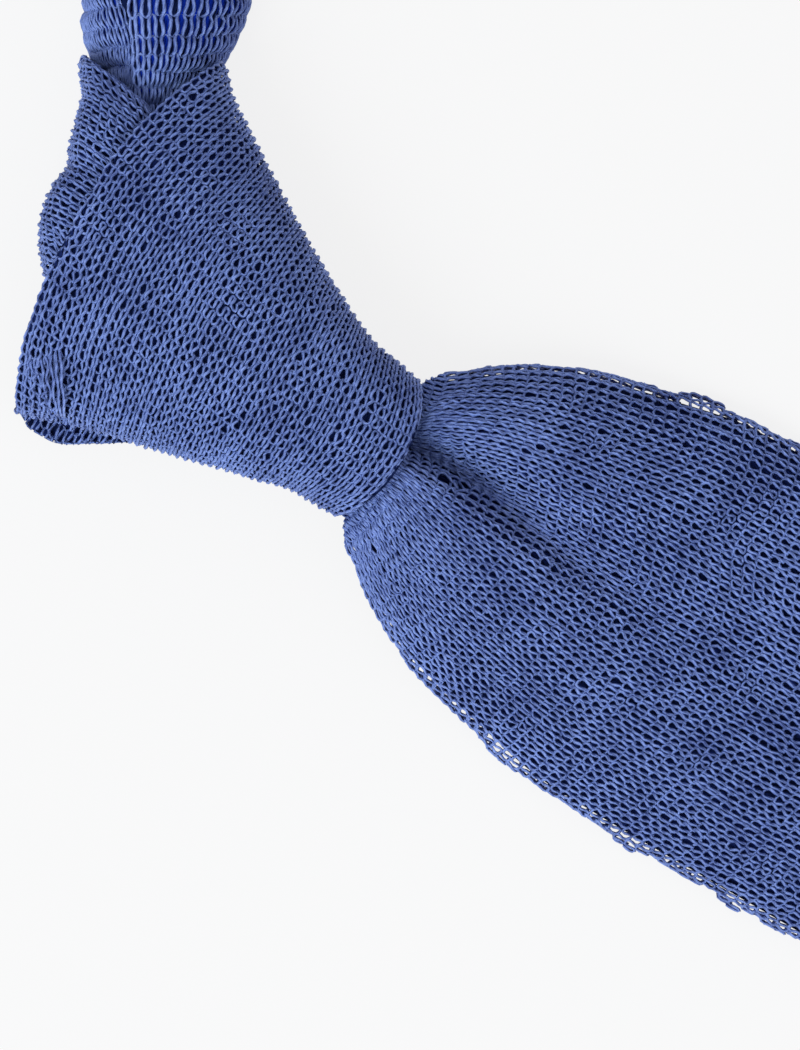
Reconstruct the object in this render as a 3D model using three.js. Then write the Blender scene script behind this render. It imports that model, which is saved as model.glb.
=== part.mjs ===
// A knitted necktie, tied in a four-in-hand knot and laid on its back on a table.
// Millimetres, +Z up. The origin is on the table under the knot. +Y runs up the tie, from the blades
// to the knot, and +X is to the right of someone who looks down on its front.
// Each piece is one pass of the same flat knitted tube, given as the middle surface of its cloth
// and thickened by half the cloth on each side.
import * as THREE from "three";

// Driving sizes.
const cloth = 2.2; // thickness of the flat knitted tube
const layerGap = 0.35; // air between two passes
const knotLength = 55; // mouth to top edge of the front wrap, on the middle line
const knotTop = 18.3; // Y of the front wrap's top edge on the middle line
const knotWidth = 57.6; // front wrap at its top edge
const mouthWidth = 23.1; // front wrap at its lower edge
const knotHeight = 20.5; // table to the front of the knot
const bladeWidth = 60; // broad end
const bladeLength = 440; // mouth to the broad end's tip
const spreadLength = 66; // stretch in which the broad end opens to its width
const tailWidth = 43; // narrow end
const tailLength = 340; // mouth to the narrow end's tip
const neckWidth = 28; // band round the neck
const loopLength = 134; // inside of the neck loop, from the knot to its far side
const loopBreadth = 90; // widest part of the loop's rim
const loopAngle = THREE.MathUtils.degToRad(32); // loop's axis, above +X

const mouthY = knotTop - knotLength;
const bladeTop = mouthY + knotLength * 0.05; // Y where the blades' tables start, at the mouth's sides
const knotBase = cloth * 1.5 + layerGap; // lowest middle surface that clears the back wrap
const frontLayer = knotHeight - cloth * 1.5 - layerGap; // highest one that clears the front wrap
const shortOfEdge = 0.996; // arches stop here, before their sides would stand upright
const blue = 0x3f5392;

// Front wrap: rows across the band, from the mouth to the top edge. Widths and the middle line's
// offset are shares of the knot's width, dips at the sides are shares of its length, and the
// crown is a share of its height. The hem is how far the right side stops short of the table.
const wrapRows = [
  { share: 0.0, width: 0.0, centre: 0.0, dipLeft: 0.07, dipRight: 0.055, crown: 0.86, hem: 0 },
  { share: 0.15, width: 0.03, centre: 0.012, dipLeft: 0.035, dipRight: 0.035, crown: 0.91, hem: 0 },
  { share: 0.35, width: 0.2, centre: 0.03, dipLeft: 0.0, dipRight: 0.0, crown: 0.96, hem: 0 },
  { share: 0.55, width: 0.43, centre: 0.056, dipLeft: -0.02, dipRight: -0.02, crown: 1.0, hem: 0 },
  { share: 0.75, width: 0.68, centre: 0.092, dipLeft: -0.045, dipRight: -0.035, crown: 1.0, hem: 0 },
  { share: 0.9, width: 0.85, centre: 0.112, dipLeft: -0.085, dipRight: -0.075, crown: 0.985, hem: 0.3 },
  { share: 1.0, width: 1.0, centre: 0.13, dipLeft: -0.105, dipRight: -0.112, crown: 0.96, hem: 0.7 },
];
const wrapCrown = wrapRows[0].crown * knotHeight; // front of the wrap at the mouth
const wrapBelly = 0.36; // height of the wrap's widest line, share of the knot's height
const wrapTuck = 1.3; // how far its sides turn in below that line
const wrapSide = 0.1; // share of its section that each side takes below that line
const wrapRound = 0.86; // exponent of its dome, 1 for an ellipse
const dipPower = 2.5; // how late towards the sides its two edges dip
const foldDepth = 1.1; // crease of the folded corner at the upper left
const foldWidth = 1.6; // half the crease's breadth

// Middle surfaces inside the mouth, clear of the wrap and the narrow end, and on the flat.
const mouthHalf = mouthWidth / 2 - cloth * 1.5 - layerGap * 2;
const mouthCrown = wrapCrown - cloth * 1.5 - layerGap * 2;
const mouthEdge = knotBase + cloth + layerGap * 2;
const flatCrown = cloth * 1.5 + layerGap * 3;
const flatEdge = cloth / 2 + layerGap / 2;

// Back wrap: rows from its lower edge to its top edge. Edges are shares of the knot's width.
const backRows = [
  { share: 0.0, left: -0.125, right: 0.125 },
  { share: 0.33, left: -0.175, right: 0.2 },
  { share: 0.56, left: -0.255, right: 0.28 },
  { share: 0.72, left: -0.325, right: 0.37 },
  { share: 0.88, left: -0.378, right: 0.45 },
  { share: 0.95, left: -0.378, right: 0.48 },
  { share: 1.0, left: -0.36, right: 0.49 },
];
const backTop = mouthY + 0.885 * knotLength; // Y of the back wrap's top edge
const backLength = 0.715 * knotLength; // from there to its lower edge

// Over pass: rows along its way, from behind the knot over the top fold and down inside the wrap.
// Y is given at the left and right edge as a share of the knot's length above the mouth, X as a
// share of the knot's width, and heights as shares of the way from the table to the front layer.
const overRows = [
  { share: 0.0, leftY: 0.902, rightY: 0.93, left: -0.2, right: 0.415, edge: 0.01, crown: 0.01, round: 1 },
  { share: 0.16, leftY: 0.912, rightY: 1.08, left: -0.21, right: 0.43, edge: 0.02, crown: 0.02, round: 1 },
  { share: 0.27, leftY: 0.925, rightY: 1.18, left: -0.215, right: 0.445, edge: 0.1, crown: 0.19, round: 0.8 },
  { share: 0.36, leftY: 0.935, rightY: 1.2, left: -0.22, right: 0.46, edge: 0.32, crown: 0.49, round: 0.6 },
  { share: 0.46, leftY: 0.915, rightY: 1.175, left: -0.22, right: 0.46, edge: 0.58, crown: 0.8, round: 0.5 },
  { share: 0.6, leftY: 0.84, rightY: 1.03, left: -0.2, right: 0.44, edge: 0.685, crown: 0.927, round: 0.5 },
  { share: 0.75, leftY: 0.7, rightY: 0.76, left: -0.15, right: 0.31, edge: 0.58, crown: 0.933, round: 0.5 },
  { share: 0.88, leftY: 0.5, rightY: 0.5, left: -0.125, right: 0.2, edge: 0.425, crown: 0.908, round: 0.5 },
  { share: 1.0, leftY: 0.27, rightY: 0.27, left: -0.105, right: 0.125, edge: 0.36, crown: 0.85, round: 0.5 },
];

const foldPlace = 0.38; // share of its way where it turns over the top
const foldReach = 0.2; // share in which the top fold's rise fades out
const overFull = 2.2; // exponent of its arch across

// Rise of the over pass's top fold over the straight line between its ends, from left to right, as
// a share of the knot's length.
const foldRows = [
  { share: 0.0, rise: 0.012 },
  { share: 0.09, rise: -0.002 },
  { share: 0.22, rise: -0.012 },
  { share: 0.375, rise: 0.024 },
  { share: 0.45, rise: 0.029 },
  { share: 0.55, rise: 0.017 },
  { share: 0.655, rise: -0.019 },
  { share: 0.72, rise: -0.0135 },
  { share: 0.78, rise: -0.018 },
  { share: 0.885, rise: -0.026 },
  { share: 0.96, rise: -0.009 },
  { share: 1.0, rise: 0.001 },
];

// Broad end: rows from inside the mouth to the tip. `at` is a share of the spread length below the
// mouth. `open` goes from the width inside the mouth to the blade's own. `rise` and `lift` go from
// the middle's and the edges' height on the flat to theirs in the mouth, the dimple's depth is a
// share of the height of the lobes, and its place and width are shares of half the blade's width.
const bladeRows = [
  { at: -0.18, open: 0.0, rise: 1.08, lift: 1.0, dimple: 0.36, aside: 0.02, valley: 0.07, full: 2.2, roll: 0.5 },
  { at: -0.09, open: 0.0, rise: 1.01, lift: 1.0, dimple: 0.64, aside: 0.04, valley: 0.075, full: 2.2, roll: 0.5 },
  { at: -0.02, open: 0.0, rise: 1.0, lift: 0.99, dimple: 0.88, aside: 0.065, valley: 0.085, full: 2.2, roll: 0.5 },
  { at: 0.012, open: 0.0, rise: 1.0, lift: 0.93, dimple: 0.97, aside: 0.07, valley: 0.088, full: 2.2, roll: 0.5 },
  { at: 0.035, open: 0.165, rise: 1.03, lift: 0.75, dimple: 1.0, aside: 0.075, valley: 0.092, full: 2.2, roll: 0.5 },
  { at: 0.08, open: 0.38, rise: 1.08, lift: 0.53, dimple: 1.0, aside: 0.085, valley: 0.1, full: 2.3, roll: 0.52 },
  { at: 0.17, open: 0.55, rise: 1.04, lift: 0.27, dimple: 0.91, aside: 0.085, valley: 0.115, full: 2.4, roll: 0.57 },
  { at: 0.29, open: 0.725, rise: 0.86, lift: 0.09, dimple: 0.66, aside: 0.065, valley: 0.14, full: 2.6, roll: 0.65 },
  { at: 0.45, open: 0.86, rise: 0.6, lift: 0.02, dimple: 0.39, aside: 0.035, valley: 0.18, full: 2.9, roll: 0.75 },
  { at: 0.66, open: 0.96, rise: 0.3, lift: 0.0, dimple: 0.16, aside: 0.01, valley: 0.24, full: 3.6, roll: 0.9 },
  { at: 1.0, open: 1.0, rise: 0.09, lift: 0.0, dimple: 0.035, aside: 0.0, valley: 0.3, full: 5, roll: 1 },
  { at: 1.5, open: 1.0, rise: 0.0, lift: 0.0, dimple: 0.0, aside: 0.0, valley: 0.3, full: 6, roll: 1 },
];

// Narrow end: rows from inside the knot to the tip, in the same shares.
const tailRows = [
  { at: -0.36, open: 0.0, lift: 1.0 },
  { at: 0.0, open: 0.0, lift: 1.0 },
  { at: 0.14, open: 0.31, lift: 0.75 },
  { at: 0.3, open: 0.69, lift: 0.42 },
  { at: 0.5, open: 0.9, lift: 0.0 },
  { at: 0.8, open: 1.0, lift: 0.0 },
];

// Neck loop: rows round the loop's rim, from its upper end in the knot to its lower end there.
// `free` goes from the band's gathered width in the knot to its own. `spread` is how far the band
// leans out in plan, and `foot` and `rim` how high its edges are, as shares of the width there.
// `arch` goes from a straight section to one that lies flat at the rim and rolls over to the foot.
const loopRows = [
  { share: 0.0, free: 0.0, spread: 0.157, foot: 0.27, rim: 0.56, arch: 0 },
  { share: 0.012, free: 0.0, spread: 0.175, foot: 0.215, rim: 0.59, arch: 0.2 },
  { share: 0.02, free: 0.05, spread: 0.215, foot: 0.13, rim: 0.6, arch: 0.6 },
  { share: 0.038, free: 0.15, spread: 0.275, foot: 0.01, rim: 0.6, arch: 1 },
  { share: 0.062, free: 0.3, spread: 0.27, foot: 0.0, rim: 0.62, arch: 1 },
  { share: 0.09, free: 0.6, spread: 0.25, foot: 0.0, rim: 0.7, arch: 0.8 },
  { share: 0.14, free: 1.0, spread: 0.27, foot: 0.0, rim: 0.82, arch: 0.3 },
  { share: 0.25, free: 1.0, spread: 0.4, foot: 0.0, rim: 0.9, arch: 0 },
  { share: 0.5, free: 1.0, spread: 0.52, foot: 0.0, rim: 0.86, arch: 0 },
  { share: 0.75, free: 1.0, spread: 0.62, foot: 0.0, rim: 0.8, arch: 0.1 },
  { share: 0.86, free: 0.9, spread: 0.66, foot: 0.0, rim: 0.68, arch: 0.5 },
  { share: 0.92, free: 0.7, spread: 0.65, foot: 0.0, rim: 0.56, arch: 0.9 },
  { share: 0.945, free: 0.55, spread: 0.62, foot: 0.0, rim: 0.54, arch: 1 },
  { share: 0.96, free: 0.4, spread: 0.585, foot: 0.034, rim: 0.62, arch: 0.5 },
  { share: 0.969, free: 0.15, spread: 0.56, foot: 0.086, rim: 0.67, arch: 0.1 },
  { share: 0.98, free: 0.0, spread: 0.525, foot: 0.166, rim: 0.65, arch: 0 },
  { share: 1.0, free: 0.0, spread: 0.42, foot: 0.2, rim: 0.575, arch: 0 },
];
const loopStart = 8.5; // along the loop's axis, where its two sides part
const upperEnd = 1; // along the axis, where the upper side ends in the knot
const lowerEnd = -8; // the same for the lower side
const loopRoot = new THREE.Vector2(0.417 * knotWidth, knotTop + 0.035 * knotLength); // its start
const neckAtKnot = 0.78 * knotHeight; // the band's width where it is gathered in the knot
const archRound = 0.85; // exponent of the rolled section, 1 for an ellipse
const neckBulge = 0.06; // how far it bows out between its edges, share of its height
const sidesApart = cloth * 0.8 + layerGap; // the two sides' rims where they enter the knot
const rimEnds = 0.04; // share of the rim's run that each straight end takes
const teardrop = 4.4; // exponent of the loop's plan, higher for a loop that opens later
const broadest = Math.sqrt(teardrop ** teardrop / (1 + teardrop) ** (1 + teardrop)); // of sin^n cos

// Value of one named column at x, by a monotone cubic through the rows' values.
function column(rows, key, name, x) {
  const last = rows.length - 1;
  if (x <= rows[0][key]) return rows[0][name];
  if (x >= rows[last][key]) return rows[last][name];
  const slope = (i) => (rows[i + 1][name] - rows[i][name]) / (rows[i + 1][key] - rows[i][key]);
  const tangent = (i) => {
    if (i === 0 || i === last) return slope(Math.min(i, last - 1));
    const before = slope(i - 1);
    const after = slope(i);
    return before * after <= 0 ? 0 : (2 * before * after) / (before + after);
  };
  const i = rows.findIndex((row, k) => k < last && x <= rows[k + 1][key]);
  const span = rows[i + 1][key] - rows[i][key];
  const t = (x - rows[i][key]) / span;
  const ease = t * t * (3 - 2 * t);
  return (
    rows[i][name] * (1 - ease) +
    rows[i + 1][name] * ease +
    span * t * (1 - t) * ((1 - t) * tangent(i) - t * tangent(i + 1))
  );
}

// Closed solid from a middle surface: two sheets half a thickness off it, joined round their edge.
function thicken(surface, along, across) {
  const step = 1e-3;
  const columns = across.length;
  const positions = [];
  for (const side of [1, -1]) {
    for (const u of along) {
      for (const v of across) {
        const p = surface(u, v);
        const du = surface(Math.min(u + step, 1), v).sub(surface(Math.max(u - step, 0), v));
        const dv = surface(u, Math.min(v + step, 1)).sub(surface(u, Math.max(v - step, 0)));
        const normal = du.cross(dv).normalize();
        positions.push(...p.addScaledVector(normal, (side * cloth) / 2).toArray());
      }
    }
  }
  const half = along.length * columns;
  const index = [];
  const quad = (a, b, c, d) => index.push(a, b, c, a, c, d);
  const at = (side, i, j) => side * half + i * columns + j;
  for (let i = 0; i < along.length - 1; i++) {
    for (let j = 0; j < columns - 1; j++) {
      quad(at(0, i, j), at(0, i + 1, j), at(0, i + 1, j + 1), at(0, i, j + 1));
      quad(at(1, i, j), at(1, i, j + 1), at(1, i + 1, j + 1), at(1, i + 1, j));
    }
  }
  const lastRow = along.length - 1;
  const lastColumn = columns - 1;
  for (let i = 0; i < lastRow; i++) {
    quad(at(0, i, 0), at(1, i, 0), at(1, i + 1, 0), at(0, i + 1, 0));
    quad(at(0, i + 1, lastColumn), at(1, i + 1, lastColumn), at(1, i, lastColumn), at(0, i, lastColumn));
  }
  for (let j = 0; j < lastColumn; j++) {
    quad(at(0, 0, j + 1), at(1, 0, j + 1), at(1, 0, j), at(0, 0, j));
    quad(at(0, lastRow, j), at(1, lastRow, j), at(1, lastRow, j + 1), at(0, lastRow, j + 1));
  }
  const geometry = new THREE.BufferGeometry();
  geometry.setAttribute("position", new THREE.Float32BufferAttribute(positions, 3));
  geometry.setIndex(index);
  geometry.computeVertexNormals();
  return geometry;
}

const evenly = (count) => Array.from({ length: count + 1 }, (_, i) => i / count);

// Front wrap: across the knot from left to right in u, from the mouth to the top edge in v. The
// section is half a superellipse over the belly line, with sides that turn in below it.
function wrapPoint(u, v) {
  const width = mouthWidth + (knotWidth - mouthWidth) * column(wrapRows, "share", "width", v);
  const half = width / 2 - cloth / 2;
  const centre = knotWidth * column(wrapRows, "share", "centre", v);
  const top = knotHeight * column(wrapRows, "share", "crown", v) - cloth / 2;
  const belly = knotHeight * wrapBelly;
  const turn = (Math.PI * (u - wrapSide)) / (1 - 2 * wrapSide);
  let aside;
  let z;
  if (turn < 0 || turn > Math.PI) {
    const under = (Math.PI / 2) * (1 - Math.min(u, 1 - u) / wrapSide);
    aside = (turn < 0 ? -1 : 1) * (half - wrapTuck * (1 - Math.cos(under)));
    const hem = turn < 0 ? 0 : column(wrapRows, "share", "hem", v);
    z = belly - (belly - knotBase) * (1 - hem) * Math.sin(under);
  } else {
    aside = -half * Math.sign(Math.cos(turn)) * Math.abs(Math.cos(turn)) ** wrapRound;
    z = belly + (top - belly) * Math.sin(turn) ** wrapRound;
  }
  const k = aside / half;
  const dip = column(wrapRows, "share", k < 0 ? "dipLeft" : "dipRight", v) * Math.abs(k) ** dipPower;
  const y = mouthY + knotLength * (v + dip);
  const x = centre + aside;
  const raised = Math.max(0, (z - belly) / (top - belly));
  return new THREE.Vector3(x, y, z - foldDepth * Math.sqrt(raised) * cornerFold(x, y));
}

// Crease of the folded corner: a narrow valley from the left edge to where it fades out.
function cornerFold(x, y) {
  const from = new THREE.Vector2(-0.345 * knotWidth, knotTop - 0.215 * knotLength);
  const to = new THREE.Vector2(-0.235 * knotWidth, knotTop - 0.155 * knotLength);
  const way = to.clone().sub(from);
  const offset = new THREE.Vector2(x, y).sub(from);
  const along = offset.dot(way) / way.lengthSq();
  const aside = offset.cross(way) / way.length();
  const fade = Math.max(0, 1 - Math.max(0, along) ** 2);
  return fade * Math.exp(-((aside / foldWidth) ** 2));
}

// Back wrap: flat on the table, from its lower edge to its top edge in u, left to right in v.
function backPoint(u, v) {
  const left = knotWidth * column(backRows, "share", "left", u);
  const right = knotWidth * column(backRows, "share", "right", u);
  return new THREE.Vector3(left + (right - left) * v, backTop - backLength * (1 - u), cloth / 2);
}

// Over pass: along its way in u, left to right in v, arched across.
function overPoint(u, v) {
  const get = (name) => column(overRows, "share", name, u);
  const x = knotWidth * (get("left") + (get("right") - get("left")) * v);
  const nearFold = Math.exp(-(((u - foldPlace) / foldReach) ** 2));
  const rise = nearFold * column(foldRows, "share", "rise", v);
  const y = mouthY + knotLength * (get("leftY") + (get("rightY") - get("leftY")) * v + rise);
  const arch = (1 - Math.abs((2 * v - 1) * shortOfEdge) ** overFull) ** get("round");
  const share = get("edge") + (get("crown") - get("edge")) * arch;
  return new THREE.Vector3(x, y, cloth / 2 + (frontLayer - cloth / 2) * share);
}

// Broad end: from inside the mouth to the tip in u, left to right in v. The section is an arch
// that flattens down the blade, less a valley for the dimple.
function bladePoint(u, v) {
  const start = mouthY + knotLength * overRows.at(-1).leftY - layerGap;
  const first = (bladeTop - start) / spreadLength;
  const at = first + (bladeLength / spreadLength - first) * u;
  const get = (name) => column(bladeRows, "at", name, at);
  const k = (2 * v - 1) * shortOfEdge;
  const x = k * (mouthHalf + (bladeWidth / 2 - mouthHalf) * get("open"));
  const crown = flatCrown + (mouthCrown - flatCrown) * get("rise");
  const edge = flatEdge + (mouthEdge - flatEdge) * get("lift");
  const arch = (1 - Math.abs(k) ** get("full")) ** get("roll");
  const fromValley = ((x * 2) / bladeWidth - get("aside")) / get("valley");
  const valley = (mouthCrown - mouthEdge) * get("dimple") * Math.exp(-(fromValley ** 2));
  return new THREE.Vector3(x, bladeTop - spreadLength * at, edge + (crown - edge) * arch - valley);
}

// Narrow end: out of the knot and flat along the table under the broad end.
function tailPoint(u, v) {
  const first = tailRows[0].at;
  const at = first + (tailLength / spreadLength - first) * u;
  const half = mouthHalf + (tailWidth / 2 - mouthHalf) * column(tailRows, "at", "open", at);
  const z = cloth / 2 + (knotBase - cloth / 2) * column(tailRows, "at", "lift", at);
  return new THREE.Vector3((2 * v - 1) * half, bladeTop - spreadLength * at, z);
}

// Rim of the neck loop in plan: a teardrop, with straight ends that run side by side into the knot.
class LoopRim extends THREE.Curve {
  getPoint(t, target = new THREE.Vector3()) {
    const part = sidesApart / 2;
    let along;
    let aside;
    if (t < rimEnds) {
      along = upperEnd + ((loopStart - upperEnd) * t) / rimEnds;
      aside = part;
    } else if (t > 1 - rimEnds) {
      along = lowerEnd + ((loopStart - lowerEnd) * (1 - t)) / rimEnds;
      aside = -part;
    } else {
      const angle = (Math.PI * (t - rimEnds)) / (1 - 2 * rimEnds);
      const opening = (Math.sin(angle) ** teardrop * Math.cos(angle)) / broadest;
      along = loopStart + loopLength * Math.sin(angle) ** 2;
      aside = part * Math.cos(angle) + (loopBreadth / 2) * opening;
    }
    const axis = new THREE.Vector2(Math.cos(loopAngle), Math.sin(loopAngle));
    const x = loopRoot.x + axis.x * along - axis.y * aside;
    const y = loopRoot.y + axis.y * along + axis.x * aside;
    return target.set(x, y, 0);
  }
}
const rim = new LoopRim();
rim.arcLengthDivisions = 800;

// Neck loop: round the loop in u, by the rim's length, and from the rim to the foot in v.
function loopPoint(u, v) {
  const at = rim.getPointAt(u);
  const way = rim.getTangentAt(u);
  const free = column(loopRows, "share", "free", u);
  const width = neckAtKnot + (neckWidth - neckAtKnot) * free;
  const get = (name) => width * column(loopRows, "share", name, u);
  const bulge = neckBulge * Math.sin(Math.PI * v) * get("rim");
  const arch = column(loopRows, "share", "arch", u);
  const out = v + arch * (Math.sin((Math.PI * v) / 2) ** archRound - v);
  const down = v + arch * (1 - Math.cos((Math.PI * v) / 2) ** archRound - v);
  const reach = get("spread") * out + bulge * (1 - arch);
  const lean = get("spread") / Math.hypot(get("spread"), get("rim"));
  const foot = (cloth / 2) * lean + get("foot");
  const raise = (bulge * (1 - arch) * get("spread")) / width;
  const z = get("rim") + (foot - get("rim")) * down + raise;
  return new THREE.Vector3(at.x - way.y * reach, at.y + way.x * reach, z);
}

// More steps where a blade is gathered than where it lies flat.
const gatherSteps = (length, dense, sparse) => {
  const share = (spreadLength * 1.35) / (length + spreadLength * 0.3);
  return [
    ...evenly(dense).map((t) => t * share),
    ...evenly(sparse).slice(1).map((t) => share + (1 - share) * t),
  ];
};

const pieces = {
  back_wrap: thicken(backPoint, evenly(10), evenly(4)),
  tail_blade: thicken(tailPoint, gatherSteps(tailLength, 12, 4), evenly(6)),
  neck_loop: thicken(loopPoint, evenly(84), evenly(5)),
  over_pass: thicken(overPoint, evenly(26), evenly(12)),
  front_blade: thicken(bladePoint, gatherSteps(bladeLength, 26, 6), evenly(24)),
  front_wrap: thicken(wrapPoint, evenly(30), evenly(18)),
};

const group = new THREE.Group();
for (const [name, geometry] of Object.entries(pieces)) {
  const material = new THREE.MeshStandardMaterial({ color: blue, roughness: 0.9, metalness: 0 });
  const mesh = new THREE.Mesh(geometry, material);
  mesh.name = name;
  group.add(mesh);
}

export default group;
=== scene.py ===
"""A knitted necktie, tied in a four-in-hand knot and laid on its back on a table.

Each pass of the knitted tube is dressed in two things: an inner layer of cloth, dark with painted
shade, and over it the courses of yarn, each one a single strand that runs in loops across the band.
The band's shapes are worked out in millimetres, and the meshes are in metres.
"""

import math

import bpy
import numpy as np
from bpy.props import FloatProperty, FloatVectorProperty, PointerProperty
from mathutils import Matrix, Vector


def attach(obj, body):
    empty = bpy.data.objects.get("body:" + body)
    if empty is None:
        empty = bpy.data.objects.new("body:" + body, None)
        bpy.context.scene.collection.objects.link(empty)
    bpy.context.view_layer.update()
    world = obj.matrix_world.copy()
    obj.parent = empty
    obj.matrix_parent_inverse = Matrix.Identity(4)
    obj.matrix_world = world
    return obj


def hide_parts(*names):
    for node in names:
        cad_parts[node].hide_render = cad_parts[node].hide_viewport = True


bl_info = {
    "name": "Knit Tie",
    "version": (1, 0, 0),
    "blender": (4, 5, 0),
    "location": "3D View > Sidebar > Knit Tie",
    "description": "Dresses the solids of a tied knit tie in loops of yarn",
    "category": "Add Mesh",
}

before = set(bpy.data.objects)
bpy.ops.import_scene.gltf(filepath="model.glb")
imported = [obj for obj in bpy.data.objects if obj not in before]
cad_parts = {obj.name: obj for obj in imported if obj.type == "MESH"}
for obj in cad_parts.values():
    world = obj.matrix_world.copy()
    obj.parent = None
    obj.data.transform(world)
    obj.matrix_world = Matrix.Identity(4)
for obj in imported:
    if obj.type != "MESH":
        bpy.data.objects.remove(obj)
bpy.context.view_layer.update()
MM = 0.001
STEP = 1e-3  # difference in u or v over which a slope is taken

# Sizes of the solids, in millimetres.
CLOTH = 2.2
LAYER_GAP = 0.35
KNOT_LENGTH = 55.0
KNOT_TOP = 18.3
KNOT_WIDTH = 57.6
MOUTH_WIDTH = 23.1
KNOT_HEIGHT = 20.5
BLADE_WIDTH = 60.0
BLADE_LENGTH = 440.0
SPREAD_LENGTH = 66.0
TAIL_WIDTH = 43.0
TAIL_LENGTH = 340.0
NECK_WIDTH = 28.0
LOOP_LENGTH = 134.0
LOOP_BREADTH = 90.0
LOOP_ANGLE = math.radians(32)
MOUTH_Y = KNOT_TOP - KNOT_LENGTH
BLADE_TOP = MOUTH_Y + KNOT_LENGTH * 0.05
KNOT_BASE = CLOTH * 1.5 + LAYER_GAP
FRONT_LAYER = KNOT_HEIGHT - CLOTH * 1.5 - LAYER_GAP
SHORT_OF_EDGE = 0.996


def table(names, rows):
    """Rows of a table as one array for each named column. The first column is the key."""
    values = np.array(rows, float)
    return {name: values[:, i] for i, name in enumerate(names.split())}


# Front wrap, from the mouth to the top edge.
WRAP = table(
    "share width centre dip_left dip_right crown hem",
    [
        (0.00, 0.00, 0.000, 0.070, 0.055, 0.860, 0.0),
        (0.15, 0.03, 0.012, 0.035, 0.035, 0.910, 0.0),
        (0.35, 0.20, 0.030, 0.000, 0.000, 0.960, 0.0),
        (0.55, 0.43, 0.056, -0.020, -0.020, 1.000, 0.0),
        (0.75, 0.68, 0.092, -0.045, -0.035, 1.000, 0.0),
        (0.90, 0.85, 0.112, -0.085, -0.075, 0.985, 0.3),
        (1.00, 1.00, 0.130, -0.105, -0.112, 0.960, 0.7),
    ],
)
WRAP_BELLY = 0.36
WRAP_TUCK = 1.3
WRAP_SIDE = 0.1
WRAP_ROUND = 0.86
DIP_POWER = 2.5

# Fold at the front wrap's corner: its crease's start and way in plan, the roll beside it, and the
# two lines from which and to which the roll's strands run.
FOLD_START = -18.3, 6.5
FOLD_WAY = 6.2, 4.9
FOLD_DEPTH = 5.0
FOLD_WIDTH = 1.15
ROLL_HEIGHT = 1.5
ROLL_PLACE = 3.0
ROLL_WIDTH = 1.7
ROLL_FROM = (-13.7, 15.0), (-10.2, 11.6)
ROLL_TO = (-19.0, 10.8), (-17.9, 6.5)
ROLL_STRANDS = 8
ROLL_RISE = 1.8
ROLL_TURNS = 2.2  # how often a strand bends to and fro
ROLL_BEND = 0.08, 0.24  # least and greatest bend

# Heights inside the mouth and on the flat.
MOUTH_HALF = MOUTH_WIDTH / 2 - CLOTH * 1.5 - LAYER_GAP * 2
MOUTH_CROWN = WRAP["crown"][0] * KNOT_HEIGHT - CLOTH * 1.5 - LAYER_GAP * 2
MOUTH_EDGE = KNOT_BASE + CLOTH + LAYER_GAP * 2
FLAT_CROWN = CLOTH * 1.5 + LAYER_GAP * 3
FLAT_EDGE = CLOTH / 2 + LAYER_GAP / 2

# Back wrap, from its lower edge to its top edge.
BACK = table(
    "share left right",
    [
        (0.00, -0.125, 0.125),
        (0.33, -0.175, 0.200),
        (0.56, -0.255, 0.280),
        (0.72, -0.325, 0.370),
        (0.88, -0.378, 0.450),
        (0.95, -0.378, 0.480),
        (1.00, -0.360, 0.490),
    ],
)
BACK_TOP = MOUTH_Y + 0.885 * KNOT_LENGTH
BACK_LENGTH = 0.715 * KNOT_LENGTH

# Over pass, from behind the knot over the top fold and down inside the wrap.
OVER = table(
    "share left_y right_y left right edge crown round",
    [
        (0.00, 0.902, 0.930, -0.200, 0.415, 0.010, 0.010, 1.0),
        (0.16, 0.912, 1.080, -0.210, 0.430, 0.020, 0.020, 1.0),
        (0.27, 0.925, 1.180, -0.215, 0.445, 0.100, 0.190, 0.8),
        (0.36, 0.935, 1.200, -0.220, 0.460, 0.320, 0.490, 0.6),
        (0.46, 0.915, 1.175, -0.220, 0.460, 0.580, 0.800, 0.5),
        (0.60, 0.840, 1.030, -0.200, 0.440, 0.685, 0.927, 0.5),
        (0.75, 0.700, 0.760, -0.150, 0.310, 0.580, 0.933, 0.5),
        (0.88, 0.500, 0.500, -0.125, 0.200, 0.425, 0.908, 0.5),
        (1.00, 0.270, 0.270, -0.105, 0.125, 0.360, 0.850, 0.5),
    ],
)
OVER_FULL = 2.2
FOLD_PLACE = 0.38
FOLD_REACH = 0.2
FOLD = table(
    "share rise",
    [
        (0.000, 0.0120),
        (0.090, -0.0020),
        (0.220, -0.0120),
        (0.375, 0.0240),
        (0.450, 0.0290),
        (0.550, 0.0170),
        (0.655, -0.0190),
        (0.720, -0.0135),
        (0.780, -0.0180),
        (0.885, -0.0260),
        (0.960, -0.0090),
        (1.000, 0.0010),
    ],
)

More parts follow.
